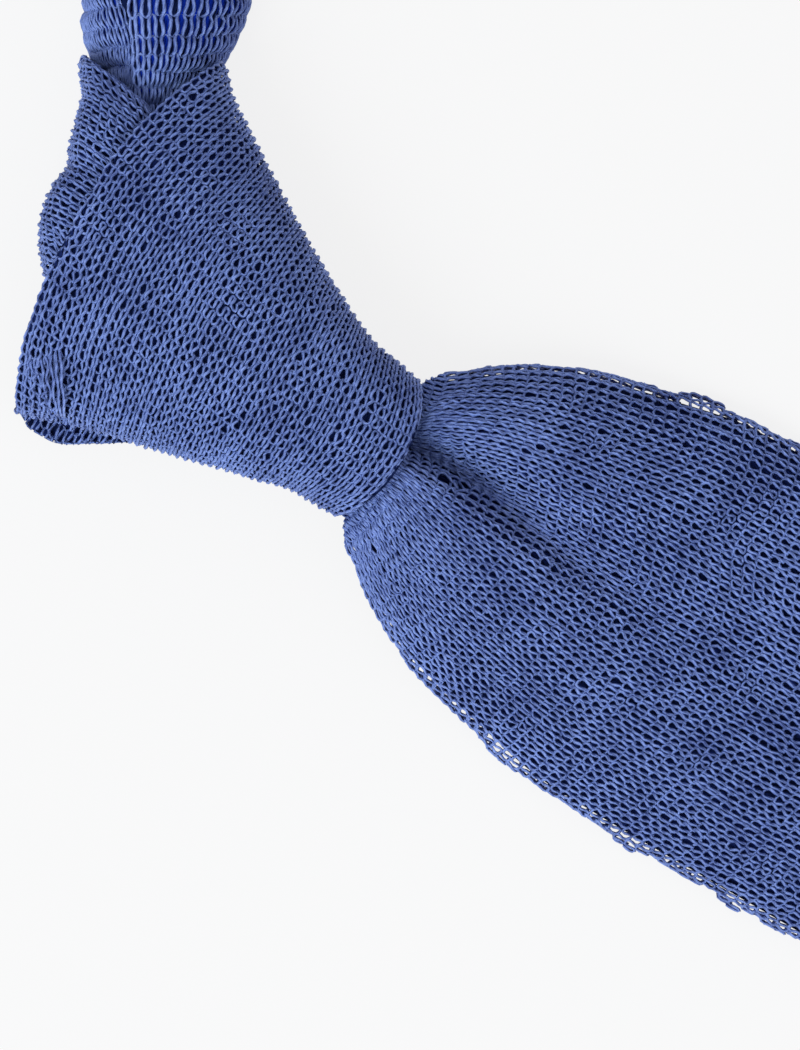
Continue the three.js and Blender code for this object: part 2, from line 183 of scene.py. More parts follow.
# Broad end, from inside the mouth to the tip.
BLADE = table(
    "at open wing rise lift dimple aside valley full roll",
    [
        (-0.180, 0.000, 0.000, 1.080, 1.000, 0.360, 0.020, 0.070, 2.200, 0.500),
        (-0.090, 0.000, 0.000, 1.010, 1.000, 0.640, 0.040, 0.075, 2.200, 0.500),
        (-0.020, 0.000, 0.200, 1.000, 0.990, 0.900, 0.062, 0.080, 2.200, 0.500),
        (0.003, 0.000, 3.100, 1.000, 0.930, 0.970, 0.066, 0.082, 2.200, 0.500),
        (0.012, 0.045, 3.300, 1.000, 0.900, 1.000, 0.068, 0.084, 2.200, 0.500),
        (0.035, 0.165, 2.500, 1.030, 0.750, 1.060, 0.073, 0.088, 2.200, 0.500),
        (0.080, 0.328, 0.800, 1.080, 0.530, 1.080, 0.083, 0.094, 2.300, 0.520),
        (0.170, 0.545, 0.350, 1.040, 0.270, 0.970, 0.083, 0.108, 2.400, 0.570),
        (0.290, 0.725, 0.300, 0.860, 0.090, 0.700, 0.065, 0.135, 2.600, 0.650),
        (0.450, 0.860, 0.200, 0.600, 0.020, 0.410, 0.035, 0.180, 2.900, 0.750),
        (0.660, 0.975, 0.300, 0.300, 0.000, 0.160, 0.010, 0.240, 3.600, 0.900),
        (1.000, 1.000, 0.000, 0.090, 0.000, 0.035, 0.000, 0.300, 5.000, 1.000),
        (1.500, 1.000, 0.000, 0.000, 0.000, 0.000, 0.000, 0.300, 6.000, 1.000),
    ],
)
WING_POWER = 7
VALLEY_SIDES = 1.7, 0.8  # steepness of the valley on its left and right

# Narrow end, from inside the knot to the tip.
TAIL = table(
    "at open lift",
    [
        (-0.36, 0.00, 1.00),
        (0.00, 0.00, 1.00),
        (0.14, 0.31, 0.75),
        (0.30, 0.69, 0.42),
        (0.50, 0.90, 0.00),
        (0.80, 1.00, 0.00),
    ],
)

# Neck loop, round its rim from its upper end in the knot to its lower end there.
LOOP = table(
    "share free spread foot rim arch close",
    [
        (0.000, 0.000, 0.210, 0.270, 0.560, 0.000, 1.500),
        (0.012, 0.000, 0.280, 0.215, 0.590, 0.300, 1.450),
        (0.020, 0.050, 0.340, 0.130, 0.600, 0.800, 1.400),
        (0.027, 0.100, 0.325, 0.060, 0.600, 0.950, 0.850),
        (0.038, 0.150, 0.240, 0.010, 0.600, 1.000, 0.100),
        (0.062, 0.300, 0.250, 0.000, 0.620, 1.000, 0.000),
        (0.090, 0.600, 0.250, 0.000, 0.700, 0.800, 0.000),
        (0.140, 1.000, 0.270, 0.000, 0.820, 0.300, 0.000),
        (0.250, 1.000, 0.400, 0.000, 0.900, 0.000, 0.000),
        (0.500, 1.000, 0.520, 0.000, 0.860, 0.000, 0.000),
        (0.750, 1.000, 0.620, 0.000, 0.800, 0.100, 0.000),
        (0.860, 0.900, 0.660, 0.000, 0.680, 0.500, 0.000),
        (0.920, 0.700, 0.690, 0.000, 0.560, 0.900, 0.300),
        (0.945, 0.550, 0.670, 0.000, 0.540, 1.000, 0.450),
        (0.960, 0.400, 0.600, 0.034, 0.580, 0.900, 0.200),
        (0.969, 0.150, 0.560, 0.086, 0.620, 0.600, 0.200),
        (0.980, 0.000, 0.525, 0.166, 0.640, 0.200, 0.200),
        (1.000, 0.000, 0.420, 0.200, 0.575, 0.000, 0.200),
    ],
)
LOOP_START = 8.5
UPPER_END = 1.0
LOWER_END = -8.0
LOOP_ROOT = (0.417 * KNOT_WIDTH, KNOT_TOP + 0.035 * KNOT_LENGTH)
NECK_AT_KNOT = 0.78 * KNOT_HEIGHT
ARCH_ROUND = 0.85
NECK_BULGE = 0.06
SIDES_APART = CLOTH * 0.8 + LAYER_GAP
RIM_ENDS = 0.04
TEARDROP = 4.4
BROADEST = math.sqrt(TEARDROP**TEARDROP / (1 + TEARDROP) ** (1 + TEARDROP))


def column(rows, name, x):
    """A table's named column at x: a monotone cubic through its rows, and flat beyond its ends."""
    keys, values = next(iter(rows.values())), rows[name]
    slopes = np.diff(values) / np.diff(keys)
    before, after = slopes[:-1], slopes[1:]
    both = before * after
    total = np.where(both > 0, before + after, 1)
    inner = np.where(both > 0, 2 * both / total, 0)
    tangents = np.concatenate([slopes[:1], inner, slopes[-1:]])
    i = np.clip(np.searchsorted(keys, x) - 1, 0, len(keys) - 2)
    span = keys[i + 1] - keys[i]
    t = np.clip((x - keys[i]) / span, 0, 1)
    ease = t * t * (3 - 2 * t)
    bend = span * t * (1 - t) * ((1 - t) * tangents[i] - t * tangents[i + 1])
    return values[i] * (1 - ease) + values[i + 1] * ease + bend


def corner_fold(x, y):
    """Rise of the folded corner: a bell-shaped crease across a line that fades along it, and a
    bell-shaped roll beside it."""
    x0, y0 = FOLD_START
    way = np.array(FOLD_WAY)
    along = ((x - x0) * way[0] + (y - y0) * way[1]) / (way @ way)
    aside = ((x - x0) * way[1] - (y - y0) * way[0]) / np.sqrt(way @ way)
    fade = np.maximum(0, 1 - np.maximum(0, along) ** 2)
    crease = FOLD_DEPTH * np.exp(-((aside / FOLD_WIDTH) ** 2))
    roll = ROLL_HEIGHT * np.exp(-(((aside + ROLL_PLACE) / ROLL_WIDTH) ** 2))
    return fade * (roll - crease)


def front_wrap(u, v, fold=1.0):
    """Left to right in u, mouth to top edge in v: half a superellipse over the belly line, with
    sides that turn in below it as quarter circles, and the fold at its corner."""
    u, v = np.broadcast_arrays(np.clip(u, 0, 1), v)
    half = (MOUTH_WIDTH + (KNOT_WIDTH - MOUTH_WIDTH) * column(WRAP, "width", v) - CLOTH) / 2
    top = KNOT_HEIGHT * column(WRAP, "crown", v) - CLOTH / 2
    belly = KNOT_HEIGHT * WRAP_BELLY
    turn = np.pi * (u - WRAP_SIDE) / (1 - 2 * WRAP_SIDE)
    under = np.pi / 2 * (1 - np.minimum(u, 1 - u) / WRAP_SIDE)
    hem = np.where(turn < 0, 0, column(WRAP, "hem", v))
    low_x = np.where(turn < 0, -1, 1) * (half - WRAP_TUCK * (1 - np.cos(under)))
    low_z = belly - (belly - KNOT_BASE) * (1 - hem) * np.sin(under)
    dome_x = -half * np.sign(np.cos(turn)) * np.abs(np.cos(turn)) ** WRAP_ROUND
    dome_z = belly + (top - belly) * np.maximum(np.sin(turn), 0) ** WRAP_ROUND
    below = (turn < 0) | (turn > np.pi)
    aside = np.where(below, low_x, dome_x)
    z = np.where(below, low_z, dome_z)
    k = aside / half
    dip = np.where(k < 0, column(WRAP, "dip_left", v), column(WRAP, "dip_right", v))
    y = MOUTH_Y + KNOT_LENGTH * (v + dip * np.abs(k) ** DIP_POWER)
    x = KNOT_WIDTH * column(WRAP, "centre", v) + aside
    raised = np.maximum(0, (z - belly) / (top - belly))
    return np.stack([x, y, z + fold * raised**0.15 * corner_fold(x, y)], -1)


def plain_wrap(u, v):
    """The front wrap without the fold at its corner."""
    return front_wrap(u, v, 0.0)


def back_wrap(u, v):
    """Left to right in u, lower to top edge in v: a flat band between the table's two edges."""
    u, v = np.broadcast_arrays(u, v)
    left, right = column(BACK, "left", v), column(BACK, "right", v)
    x = KNOT_WIDTH * (left + (right - left) * u)
    return np.stack([x, BACK_TOP - BACK_LENGTH * (1 - v), np.full_like(x, CLOTH / 2)], -1)


def over_pass(u, v):
    """Along its way in u, left to right in v: the table's straight section with a power arch."""
    u, v = np.broadcast_arrays(u, v)
    left, right = column(OVER, "left", u), column(OVER, "right", u)
    rise = np.exp(-(((u - FOLD_PLACE) / FOLD_REACH) ** 2)) * column(FOLD, "rise", v)
    left_y, right_y = column(OVER, "left_y", u), column(OVER, "right_y", u)
    y = MOUTH_Y + KNOT_LENGTH * (left_y + (right_y - left_y) * v + rise)
    k = np.abs((2 * v - 1) * SHORT_OF_EDGE)
    arch = (1 - k**OVER_FULL) ** column(OVER, "round", u)
    edge, crown = column(OVER, "edge", u), column(OVER, "crown", u)
    z = CLOTH / 2 + (FRONT_LAYER - CLOTH / 2) * (edge + (crown - edge) * arch)
    return np.stack([KNOT_WIDTH * (left + (right - left) * v), y, z], -1)


def front_blade(u, v):
    """Inside the mouth to the tip in u, left to right in v: an arch that flattens down the blade,
    less a bell-shaped valley for the dimple."""
    u, v = np.broadcast_arrays(u, v)
    start = MOUTH_Y + KNOT_LENGTH * OVER["left_y"][-1] - LAYER_GAP
    first = (BLADE_TOP - start) / SPREAD_LENGTH
    at = first + (BLADE_LENGTH / SPREAD_LENGTH - first) * u
    k = (2 * v - 1) * SHORT_OF_EDGE
    half = MOUTH_HALF + (BLADE_WIDTH / 2 - MOUTH_HALF) * column(BLADE, "open", at)
    x = k * half + column(BLADE, "wing", at) * k**WING_POWER
    crown = FLAT_CROWN + (MOUTH_CROWN - FLAT_CROWN) * column(BLADE, "rise", at)
    edge = FLAT_EDGE + (MOUTH_EDGE - FLAT_EDGE) * column(BLADE, "lift", at)
    arch = (1 - np.abs(k) ** column(BLADE, "full", at)) ** column(BLADE, "roll", at)
    aside = (x * 2 / BLADE_WIDTH - column(BLADE, "aside", at)) / column(BLADE, "valley", at)
    bell = np.exp(-((aside * np.where(aside < 0, VALLEY_SIDES[0], VALLEY_SIDES[1])) ** 2))
    dimple = (MOUTH_CROWN - MOUTH_EDGE) * column(BLADE, "dimple", at) * bell
    z = edge + (crown - edge) * arch - dimple
    return np.stack([x, BLADE_TOP - SPREAD_LENGTH * at, z], -1)


def tail_blade(u, v):
    """Inside the knot to the tip in u, left to right in v: a flat band that comes down to the
    table as it opens."""
    u, v = np.broadcast_arrays(u, v)
    first = TAIL["at"][0]
    at = first + (TAIL_LENGTH / SPREAD_LENGTH - first) * u
    half = MOUTH_HALF + (TAIL_WIDTH / 2 - MOUTH_HALF) * column(TAIL, "open", at)
    z = CLOTH / 2 + (KNOT_BASE - CLOTH / 2) * column(TAIL, "lift", at)
    return np.stack([(2 * v - 1) * half, BLADE_TOP - SPREAD_LENGTH * at, z], -1)


def rim_point(t):
    """The loop's rim in plan: a teardrop of sin^2 along its axis and sin^n cos aside, between two
    straight ends that run side by side into the knot."""
    part = SIDES_APART / 2
    angle = np.pi * np.clip((t - RIM_ENDS) / (1 - 2 * RIM_ENDS), 0, 1)
    along = LOOP_START + LOOP_LENGTH * np.sin(angle) ** 2
    opening = np.sin(angle) ** TEARDROP * np.cos(angle) / BROADEST
    aside = part * np.cos(angle) + LOOP_BREADTH / 2 * opening
    first, last = t < RIM_ENDS, t > 1 - RIM_ENDS
    along = np.where(first, UPPER_END + (LOOP_START - UPPER_END) * t / RIM_ENDS, along)
    along = np.where(last, LOWER_END + (LOOP_START - LOWER_END) * (1 - t) / RIM_ENDS, along)
    aside = np.where(first, part, np.where(last, -part, aside))
    c, s = math.cos(LOOP_ANGLE), math.sin(LOOP_ANGLE)
    return LOOP_ROOT[0] + c * along - s * aside, LOOP_ROOT[1] + s * along + c * aside


RIM_T = np.linspace(0, 1, 801)
RIM_RUN = np.concatenate([[0], np.cumsum(np.hypot(*np.diff(rim_point(RIM_T))))])


def neck_loop(u, v):
    """Round the loop in u by the rim's length, rim to foot in v: a wall that leans outwards, with
    a half sine of bulge between its edges, and near its lower end a quarter of an ellipse."""
    u, v = np.broadcast_arrays(u, v)
    t = np.interp(u, RIM_RUN / RIM_RUN[-1], RIM_T)
    x, y = rim_point(t)
    x0, y0 = rim_point(np.maximum(t - 1e-4, 0))
    x1, y1 = rim_point(np.minimum(t + 1e-4, 1))
    long = np.hypot(x1 - x0, y1 - y0)
    width = NECK_AT_KNOT + (NECK_WIDTH - NECK_AT_KNOT) * column(LOOP, "free", u)
    spread, rim = width * column(LOOP, "spread", u), width * column(LOOP, "rim", u)
    arch = column(LOOP, "arch", u)
    bulge = NECK_BULGE * np.sin(np.pi * v) * rim * (1 - arch)
    reach = spread * (v + arch * (np.abs(np.sin(np.pi / 2 * v)) ** ARCH_ROUND - v)) + bulge
    down = v + arch * (1 - np.abs(np.cos(np.pi / 2 * v)) ** ARCH_ROUND - v)
    reach = reach - column(LOOP, "close", u)
    foot = CLOTH / 2 * spread / np.hypot(spread, rim) + width * column(LOOP, "foot", u)
    z = rim + (foot - rim) * down + bulge * spread / width
    return np.stack([x - (y1 - y0) / long * reach, y + (x1 - x0) / long * reach, z], -1)


def normals(surface, u, v):
    """Unit normals of a surface: the cross product of its differences along u and v."""
    du = surface(np.clip(u + STEP, 0, 1), v) - surface(np.clip(u - STEP, 0, 1), v)
    dv = surface(u, np.clip(v + STEP, 0, 1)) - surface(u, np.clip(v - STEP, 0, 1))
    across = np.cross(du, dv)
    return across / np.maximum(np.linalg.norm(across, axis=-1, keepdims=True), 1e-9)


def lengths(points, axis):
    """Running length of grid lines along one axis, from 0."""
    steps = np.linalg.norm(np.diff(points, axis=axis), axis=-1)
    return np.insert(np.cumsum(steps, axis=axis), 0, 0, axis=axis)


def look_up(grid, x, y):
    """A grid's value at x and y, which go from 0 to 1 over its rows and columns, bilinear."""
    i = np.clip(x, 0, 1) * (grid.shape[0] - 1)
    j = np.clip(y, 0, 1) * (grid.shape[1] - 1)
    i0 = np.minimum(i.astype(int), grid.shape[0] - 2)
    j0 = np.minimum(j.astype(int), grid.shape[1] - 2)
    fi, fj = i - i0, j - j0
    low = grid[i0, j0] * (1 - fj) + grid[i0, j0 + 1] * fj
    high = grid[i0 + 1, j0] * (1 - fj) + grid[i0 + 1, j0 + 1] * fj
    return low * (1 - fi) + high * fi


# Stitches: how far a loop's legs lean, how far they lie together, and its half length in courses.
BLADE_STITCH = 1.25, 0.06, 0.58
WRAP_STITCH = 1.25, 0.06, 0.6
NECK_STITCH = 1.2, 0.0, 0.62
ON_TABLE = 0.3  # least height of the yarn's middle over the table
YARN_HEIGHT = 0.45  # mean height of the yarn over the cloth's middle surface
ROUND_EDGE = 0.8  # radius of the turn at the cloth's edges
EDGE_INSET = 0.4  # how far in from the surface's edge the turn begins
BLADE_NEAR = 118  # as far as this from its top, the broad end's yarn is made finely
NECK_NEAR = 45  # the same from both ends of the neck loop
CLOTH_SIDES = -0.3, -1.05  # the inner cloth's upper and lower side, over the same surface
NECK_SIDES = 0.25, -0.5

# Unevenness of the stitches. Pairs are of each loop and of whole courses and wales.
LEAN_NOISE = 0.16  # share of a loop's lean
REACH_NOISE = 0.1  # share of its length
ACROSS_NOISE = 0.04, 0.05  # in wales
ALONG_NOISE = 0.05, 0.07  # in courses
HEIGHT_NOISE = 0.05
KINK_NOISE = 0.035
HOLE_OFF = 0.6  # how far a hole may lie from its course
HOLE_REACH = 1.1  # radius of the bell in which it pushes yarn aside
HOLE_PUSH = 0.08, 0.26  # least and greatest push
CLUSTER_PUSH = 0.15, 0.4
CLUSTER_WALES = 3  # how far a cluster of holes goes to each side


class Band:
    """A pass of cloth with distances laid out on it. Along its wales they are in millimetres from
    the anchor, on each wale or, for level courses, on the middle one. Across them they are shares
    of its width: a mean of shares of its girth and, by plan, of the surface's own. A band narrower
    than least goes on round its edges. A surface with small folds can be laid out on a plain one."""

    def __init__(
        self,
        surface,
        anchor=0.0,
        rows=360,
        columns=81,
        level=False,
        plan=0.0,
        least=0.0,
        plain=None,
    ):
        a, b = np.linspace(0, 1, rows), np.linspace(0, 1, columns)
        points = (plain or surface)(a[:, None], b[None, :])
        self.least = least
        run, girth = lengths(points, 0), lengths(points, 1)
        run = run - look_up(run, np.full(columns, anchor), b)
        if level:
            run = np.repeat(run[:, columns // 2, None], columns, 1)
        self.surface = surface
        self.low, self.high = run.min(), run.max()
        reach = np.linspace(self.low, self.high, rows)
        self.middle = run[:, columns // 2]
        self.u = np.stack([np.interp(reach, run[:, j], a) for j in range(columns)], 1)
        even = np.stack([np.interp(b, girth[i] / girth[i, -1], b) for i in range(rows)])
        self.v = even * (1 - plan) + b * plan
        self.width = girth[:, -1]

    def place(self, along, across, height, inset):
        """Points and normals at distances along and shares across, raised off the cloth's middle
        surface. Past its edges, each so far in from the surface's own edge, they turn in half a
        circle and go on along the cloth's far side."""
        start = np.interp(along, self.middle, np.linspace(0, 1, len(self.middle)))
        width = np.interp(start, np.linspace(0, 1, len(self.width)), self.width)
        reach = (across - 0.5) * np.maximum(width, self.least) + width / 2
        low, high = inset
        near = np.clip(reach, low, width - high)
        past = reach - near
        turn = np.clip(past / ROUND_EDGE, -np.pi, np.pi)
        near = near - (past - turn * ROUND_EDGE)
        inside = np.clip(near, 0, width)
        v = look_up(self.v, start, inside / width)
        u = look_up(self.u, (along - self.low) / (self.high - self.low), v)
        points, normal = self.surface(u, v), normals(self.surface, u, v)
        side = self.surface(u, np.clip(v + STEP, 0, 1)) - self.surface(u, np.clip(v - STEP, 0, 1))
        side /= np.maximum(np.linalg.norm(side, axis=-1, keepdims=True), 1e-9)
        out = side * np.sin(turn)[..., None] + normal * np.cos(turn)[..., None]
        points = points + side * (near - inside)[..., None]
        sunk = YARN_HEIGHT - ROUND_EDGE
        far = height - sunk
        placed = points + normal * sunk + out * far[..., None]
        placed[..., 2] = np.maximum(placed[..., 2], ON_TABLE)
        return placed, out


def course_marks(low, high, spacing):
    """Distances of the courses: where the integral of 1 / spacing along the band is a whole
    number."""
    run = np.linspace(low, high, 4000)
    middle = (run[1:] + run[:-1]) / 2
    count = np.insert(np.cumsum(np.diff(run) / column(spacing, "course", middle)), 0, 0)
    return np.interp(np.arange(int(count[-1]) + 1), count, run)


def smooth_noise(rng, shape, passes=1):
    """Normal noise on a grid, blurred by 1-2-1 sums along both of its first axes."""
    noise = rng.normal(size=shape)
    for _ in range(passes):
        for axis in (0, 1):
            near = np.roll(noise, 1, axis) + np.roll(noise, -1, axis)
            noise = (2 * noise + near) / 4
    return noise / noise.std()


def push_holes(rng, along, across, marks, wales, wale, holes, cluster):
    """Pushes yarn away from chosen points by a bell-shaped distance. Some lie anywhere on the band,
    and a cluster's about a distance and a wale, by its half length and its count."""
    row = rng.integers(2, len(marks) - 2, holes)
    off = rng.uniform(-HOLE_OFF, HOLE_OFF, holes)
    centre = np.stack([marks[row] + off, rng.uniform(1, wales, holes)], -1)
    size = rng.uniform(*HOLE_PUSH, holes)
    if cluster:
        s, q, wide, count = cluster
        spots_s = s + rng.uniform(-1, 1, count) * wide
        spots_q = q + rng.uniform(-1, 1, count) * CLUSTER_WALES
        centre = np.concatenate([centre, np.stack([spots_s, spots_q], -1)])
        size = np.append(size, rng.uniform(*CLUSTER_PUSH, count))
    for (s, q), push in zip(centre, size):
        ds, dq = along - s, (across - q) * wale
        far = np.sqrt(ds**2 + dq**2) + 1e-6
        bell = push * np.exp(-((far / HOLE_REACH) ** 2)) / far
        along = along + ds * bell
        across = across + dq * bell / wale
    return along, across


def strand_lines(
    band,
    marks,
    wales,
    way,
    steps,
    yarn,
    seed,
    shape=BLADE_STITCH,
    rough=1.0,
    round_by=0.5,
    depth=None,
    skew=0,
    holes=0,
    cluster=None,
    scallop=0.15,
    inset=EDGE_INSET,
):
    """Centre lines of the courses. At loop phase t a strand has gone w (t + a sin 2t) / 2 pi +
    w b sin t across, h cos t along, and lies d cos 2t below its mean height, so its legs are in
    front and its heads and feet behind. Skew lifts one leg over the other by a sine. Every loop is
    off by a little noise, whole courses and wales by a little more. The courses go on past both
    edges by round_by wales, and these edges wander in and out from course to course."""
    rng = np.random.default_rng(seed)
    lean, pinch, reach = shape
    low, high = int(-round_by * steps), int((wales + round_by) * steps)
    phase = np.arange(low, high + 1) * (2 * np.pi / steps)
    loop = phase / (2 * np.pi)
    columns = wales + 2 * math.ceil(round_by) + 3
    off = smooth_noise(rng, (len(marks), columns, 5))
    slow = smooth_noise(rng, (len(marks), columns, 2), 6)
    left = np.floor(loop).astype(int) + math.ceil(round_by)
    part = (loop - np.floor(loop))[None, :, None]
    part = part * part * (3 - 2 * part)
    off = off[:, left] * (1 - part) + off[:, left + 1] * part
    slow = slow[:, left] * (1 - part) + slow[:, left + 1] * part
    lean = lean * (1 + LEAN_NOISE * rough * off[..., 3])
    shift = rough * (ACROSS_NOISE[0] * off[..., 0] + ACROSS_NOISE[1] * slow[..., 0])
    across = loop + lean * np.sin(2 * phase) / (2 * np.pi) + pinch * np.sin(phase) + shift
    gap = np.gradient(marks)[:, None]
    reach = reach * (1 + REACH_NOISE * rough * off[..., 4])
    along = marks[:, None] - way * gap * reach * np.cos(phase)
    along = along + rough * gap * (ALONG_NOISE[0] * off[..., 1] + ALONG_NOISE[1] * slow[..., 1])
    deep = yarn.depth / MM if depth is None else depth
    deep = deep * np.clip(np.minimum(loop, wales - loop) * 0.5, 0.3, 1)
    height = YARN_HEIGHT - deep * np.cos(2 * phase) + skew * np.sin(phase)
    height = height + HEIGHT_NOISE * rough * off[..., 2]
    kink = smooth_noise(rng, (len(marks), len(phase), 3)) * KINK_NOISE * rough
    across, along, height = across + kink[..., 0], along + kink[..., 1], height + kink[..., 2]
    if holes:
        wale = band.width.mean() / wales
        along, across = push_holes(rng, along, across, marks, wales, wale, holes, cluster)
    wander = smooth_noise(rng, (len(marks), 2)) * scallop
    insets = [inset - wander[:, i, None] for i in (0, 1)]
    return band.place(along, across / wales, height, insets)


def between(ends, share):
    """Points at shares of the way between the two ends of a line."""
    return np.array(ends[0]) * (1 - share) + np.array(ends[1]) * share


def roll_lines(surface, seed, count=ROLL_STRANDS, steps=24):
    """Strands side by side over a surface, from one line to another in plan. They bend aside in
    sines, by turns apart and together, and rise from the surface by a power of a sine. The last
    ones lie highest."""
    rng = np.random.default_rng(seed)
    place, t = np.linspace(0, 1, count)[:, None, None], np.linspace(0, 1, steps)[:, None]
    starts, ends = between(ROLL_FROM, place), between(ROLL_TO, place)
    plan = starts * (1 - t) + ends * t
    way = ends - starts
    aside = np.stack([-way[..., 1], way[..., 0]], -1) / np.linalg.norm(way, axis=-1, keepdims=True)
    turns = ROLL_TURNS * t + np.arange(count)[:, None, None] / 2
    turns = turns + rng.uniform(-0.2, 0.2, (count, 1, 1))
    plan = plan + aside * np.sin(2 * np.pi * turns) * rng.uniform(*ROLL_BEND, (count, 1, 1))
    share = np.linspace(0, 1, 241)
    grid = surface(share[:, None], share[None, :]).reshape(-1, 3)
    grid = grid[grid[:, 2] > KNOT_HEIGHT * WRAP_BELLY]
    dx, dy = plan[:, :, None, 0] - grid[:, 0], plan[:, :, None, 1] - grid[:, 1]
    nearest = (dx**2 + dy**2).argmin(-1)
    z = grid[nearest, 2] + ROLL_RISE * (0.4 + 0.6 * place[..., 0]) * np.sin(np.pi * t[:, 0]) ** 0.4
    z[:, 1:-1] = (z[:, :-2] + 2 * z[:, 1:-1] + z[:, 2:]) / 4
    lines = np.concatenate([plan, z[..., None]], -1)
    return lines, np.broadcast_to(np.array([0.0, 0.0, 1.0]), lines.shape)


def tube_mesh(name, lines, out, radius, sides):
    """Tubes round centre lines: rings of points at radius (cos p, sin p) in the plane square to
    each strand, joined ring to ring, with a flat cap at each end."""
    way = np.gradient(lines, axis=1)
    way /= np.linalg.norm(way, axis=-1, keepdims=True)
    side = np.cross(way, out)
    side /= np.maximum(np.linalg.norm(side, axis=-1, keepdims=True), 1e-9)
    up = np.cross(side, way)
    turn = 2 * np.pi * np.arange(sides) / sides
    ring = np.cos(turn)[:, None] * side[:, :, None] + np.sin(turn)[:, None] * up[:, :, None]
    points = (lines[:, :, None] + radius * ring).reshape(-1, 3)
    count, long = lines.shape[:2]
    at = np.arange(count * long * sides).reshape(count, long, sides)
    nxt = np.roll(at, -1, 2)
    quads = np.stack([at[:, :-1], at[:, 1:], nxt[:, 1:], nxt[:, :-1]], -1).reshape(-1, 4)
    caps = np.concatenate([at[:, 0], at[:, -1, ::-1]])
    run = np.broadcast_to(lengths(lines, 1)[:, :, None], at.shape)
    share = np.broadcast_to(np.arange(sides) / sides, at.shape)
    one = 1 / sides
    u = np.stack([run[:, :-1], run[:, 1:], run[:, 1:], run[:, :-1]], -1)
    v = np.stack([share, share, share + one, share + one], -1)[:, :-1]
    uv = np.stack([u, v], -1).reshape(-1, 2)
    return fill_mesh(name, points, quads, caps, uv)


def fill_mesh(name, points, quads, caps, uv):
    """A mesh of four-sided faces and end caps, with a UV map for the four-sided ones."""
    mesh = bpy.data.meshes.new(name)
    loops = np.concatenate([quads.ravel(), caps.ravel()]).astype(np.int32)
    sizes = np.concatenate([np.full(len(quads), 4), np.full(len(caps), caps.shape[1])])
    mesh.vertices.add(len(points))
    mesh.vertices.foreach_set("co", (points * MM).astype(np.float32).ravel())
    mesh.loops.add(len(loops))
    mesh.loops.foreach_set("vertex_index", loops)
    mesh.polygons.add(len(sizes))
    starts = np.concatenate([[0], np.cumsum(sizes)[:-1]]).astype(np.int32)
    mesh.polygons.foreach_set("loop_start", starts)
    mesh.polygons.foreach_set("loop_total", sizes.astype(np.int32))
    mesh.polygons.foreach_set("use_smooth", np.ones(len(sizes), bool))
    mesh.update(calc_edges=True)
    layer = mesh.uv_layers.new(name="Lay")
    laid = np.zeros((len(loops), 2), np.float32)
    laid[: len(uv)] = uv
    layer.data.foreach_set("uv", laid.ravel())
    mesh.validate()
    return mesh


def slab_mesh(name, surface, along, across, top, bottom, wales, course, lip=None):
    """A closed slab between two offsets of a surface: a grid of points on each side of it, joined
    round their edge. Its first edge can go on straight as a lip, a dark sheet of painted shade,
    whose width is a function of the distance along. Its UV map counts wales and courses."""
    u, v = np.meshgrid(along, across, indexing="ij")
    middle, normal = surface(u, v), normals(surface, u, v)
    run, girth = lengths(middle, 0) / course, lengths(middle, 1)
    # Painted shade: the lip is a dark sheet along the first edge, standing for the shade in the gap
    # between the neck loop's sides.
    if lip:
        way = middle[:, 0] - middle[:, 1]
        way *= (lip(along) / np.linalg.norm(way, axis=-1))[:, None]
        middle = np.concatenate([middle[:, :1] + way[:, None], middle], 1)
        normal, run, girth = (np.concatenate([g[:, :1], g], 1) for g in (normal, run, girth))
    points = np.concatenate([(middle + normal * h).reshape(-1, 3) for h in (top, bottom)])
    rows, columns = girth.shape
    at = np.arange(rows * columns).reshape(rows, columns)
    face = np.stack([at[:-1, :-1], at[1:, :-1], at[1:, 1:], at[:-1, 1:]], -1).reshape(-1, 4)
    rim = np.concatenate([at[:-1, 0], at[-1, :-1], at[:0:-1, -1], at[0, :0:-1]])
    after = np.roll(rim, -1)
    low = rows * columns
    walls = np.stack([rim, rim + low, after + low, after], -1)
    quads = np.concatenate([face, face[:, ::-1] + low, walls])
    lay = np.stack([girth / girth[:, -1:] * wales, run], -1).reshape(-1, 2)
    uv = np.concatenate([lay, lay])[quads.ravel()]
    return fill_mesh(name, points, quads, np.zeros((0, 4), int), uv)


def linear(text):
    """An sRGB hex colour as linear red, green, blue."""
    part = np.array([int(text[i : i + 2], 16) for i in (1, 3, 5)]) / 255
    part = np.where(part <= 0.04045, part / 12.92, ((part + 0.055) / 1.055) ** 2.4)
    return tuple(float(p) for p in part)


def add_node(tree, kind, inputs=(), **settings):
    """Adds a node with its settings, and sets or links its inputs."""
    made = tree.nodes.new(kind)
    for name, value in settings.items():
        setattr(made, name, value)
    for name, value in dict(inputs).items():
        if isinstance(value, bpy.types.NodeSocket):
            tree.links.new(value, made.inputs[name])
        else:
            made.inputs[name].default_value = value
    return made


def calculate(tree, operation, *values):
    """Result of a maths node on values or sockets."""
    inputs = dict(enumerate(values))
    return add_node(tree, "ShaderNodeMath", inputs, operation=operation).outputs["Value"]


def noise(tree, place, size, detail):
    """Noise whose patches are about a size across, in metres."""
    inputs = {"Vector": place.outputs["Object"], "Scale": 1 / size, "Detail": detail}
    return add_node(tree, "ShaderNodeTexNoise", inputs).outputs["Fac"]


def new_material(name):
    """An empty node material and its tree."""
    material = bpy.data.materials.new(name)
    material.use_nodes = True
    material.node_tree.nodes.clear()
    return material, material.node_tree


def finish_material(tree, shader):
    """Links a shader to the material's output."""
    out = add_node(tree, "ShaderNodeOutputMaterial")
    tree.links.new(shader.outputs["BSDF"], out.inputs["Surface"])


